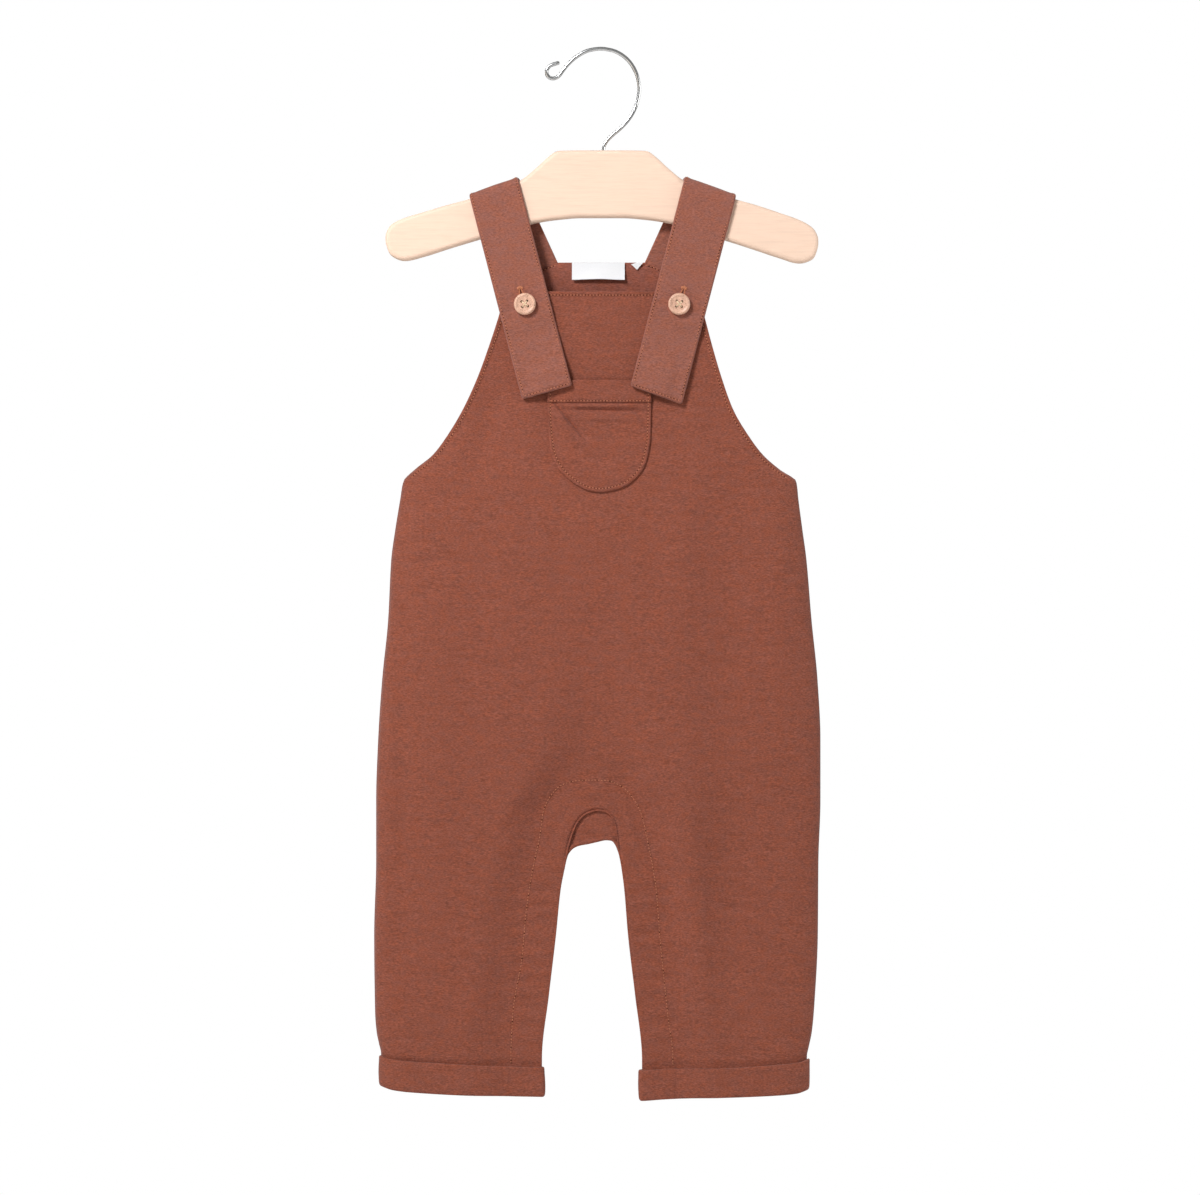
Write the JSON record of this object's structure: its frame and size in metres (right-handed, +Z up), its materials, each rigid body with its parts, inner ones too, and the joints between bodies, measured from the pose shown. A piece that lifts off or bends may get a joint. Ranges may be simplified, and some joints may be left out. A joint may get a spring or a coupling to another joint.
{
  "type": "bib overalls on a hanger",
  "caption": "Baby bib overalls in heather knit with buttoned straps, bib pocket and turned-up hems, hung on a small wooden hanger with a wire hook.",
  "frame": {"origin": "underside of the hook's crown, in the middle of its wire, where the hanger hangs", "axes": "+Z up, +X to the right seen from the front, the front of the garment faces -Y"},
  "size_m": [0.2891, 0.0245, 0.685],
  "materials": {
    "cloth": "heather knit, matte",
    "strap_cloth": "heather knit, matte",
    "button": "speckled, satin",
    "label": "woven ribbon, blank",
    "wood": "pale, fine sanded",
    "wire": "bright wire"
  },
  "bodies": {
    "root": {"front_panel": "cloth", "back_panel": "cloth", "inseam_band_front": "cloth", "inseam_band_back": "cloth", "cuff_left": "cloth", "cuff_right": "cloth", "bib_pocket": "cloth", "strap_left": "strap_cloth", "strap_right": "strap_cloth", "button_left": "button", "button_right": "button", "neck_label": "label", "size_tab": "label", "hanger_body": "wood", "hanger_hook": "wire"}
  },
  "joints": []
}
